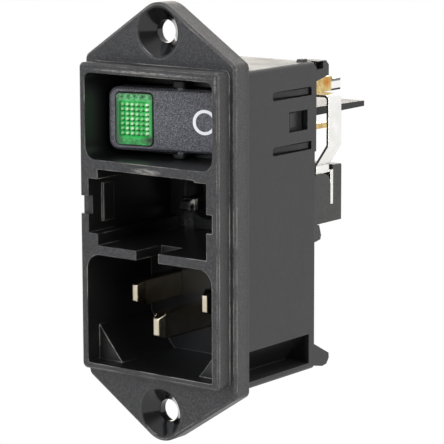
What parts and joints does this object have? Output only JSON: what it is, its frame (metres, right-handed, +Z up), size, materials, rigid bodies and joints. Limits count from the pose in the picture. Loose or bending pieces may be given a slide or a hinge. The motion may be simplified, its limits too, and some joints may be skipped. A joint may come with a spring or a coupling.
{
  "type": "power entry module",
  "caption": "Panel-mounted mains inlet module with an eared flange, an illuminated two-pole rocker switch and an opening for a fuse drawer.",
  "frame": {"origin": "midway between the two flange holes, on the flange's rear face that lies on the panel", "axes": "+X to the right seen from the front, +Y rearwards through the panel, +Z up from the inlet to the switch"},
  "size_m": [0.0296, 0.0444, 0.0692],
  "materials": {
    "housing_black": "fine matt moulded surface",
    "switch_black": "fine matt moulded surface",
    "block_black": "fine matt moulded surface",
    "rocker_black": "spark-eroded grain",
    "lens_green": "clear, polished",
    "lamp_glass": "clear",
    "resistor_body": "lacquered",
    "plunger_white": "smooth",
    "spring_steel": "drawn wire",
    "lever_brass": "stamped",
    "terminal_brass": "stamped, tinned at the tip",
    "tinned_strap": "tin plated",
    "plated_pin": "nickel plated"
  },
  "bodies": {
    "module": {"housing": "housing_black", "switch_base": "switch_black", "fulcrum_terminal_upper": "terminal_brass", "fulcrum_terminal_lower": "terminal_brass", "fixed_terminal_upper": "terminal_brass", "fixed_terminal_lower": "terminal_brass", "line_strap": "tinned_strap", "neutral_strap": "tinned_strap", "fuse_block": "block_black", "fuse_contact_line": "tinned_strap", "fuse_contact_neutral": "tinned_strap", "line_pin": "plated_pin", "neutral_pin": "plated_pin", "earth_pin": "plated_pin", "line_link": "tinned_strap", "neutral_link": "tinned_strap", "lamp_resistor": "resistor_body"},
    "rocker": {"rocker": "rocker_black", "rocker_lens": "lens_green", "neon_lamp": "lamp_glass", "plunger_upper": "plunger_white", "plunger_lower": "plunger_white", "plunger_spring_upper": "spring_steel", "plunger_spring_lower": "spring_steel"},
    "lever_upper": {"contact_lever_upper": "lever_brass"},
    "lever_lower": {"contact_lever_lower": "lever_brass"}
  },
  "joints": [
    {"name": "rocker_tilt", "type": "hinge", "parent": "module", "child": "rocker", "pos_m": [0, 0.00245, 0.01574], "axis": [0, 0, 1], "range_deg": [-30, 0]},
    {"name": "lever_upper_tilt", "type": "hinge", "parent": "module", "child": "lever_upper", "pos_m": [0, 0.0109, 0.01914], "axis": [0, 0, 1], "range_deg": [0, 12]},
    {"name": "lever_lower_tilt", "type": "hinge", "parent": "module", "child": "lever_lower", "pos_m": [0, 0.0109, 0.01234], "axis": [0, 0, 1], "range_deg": [0, 12]}
  ],
  "couplings": [
    {"joint": "lever_upper_tilt", "follows": "rocker_tilt", "ratio": -0.4},
    {"joint": "lever_lower_tilt", "follows": "rocker_tilt", "ratio": -0.4}
  ]
}
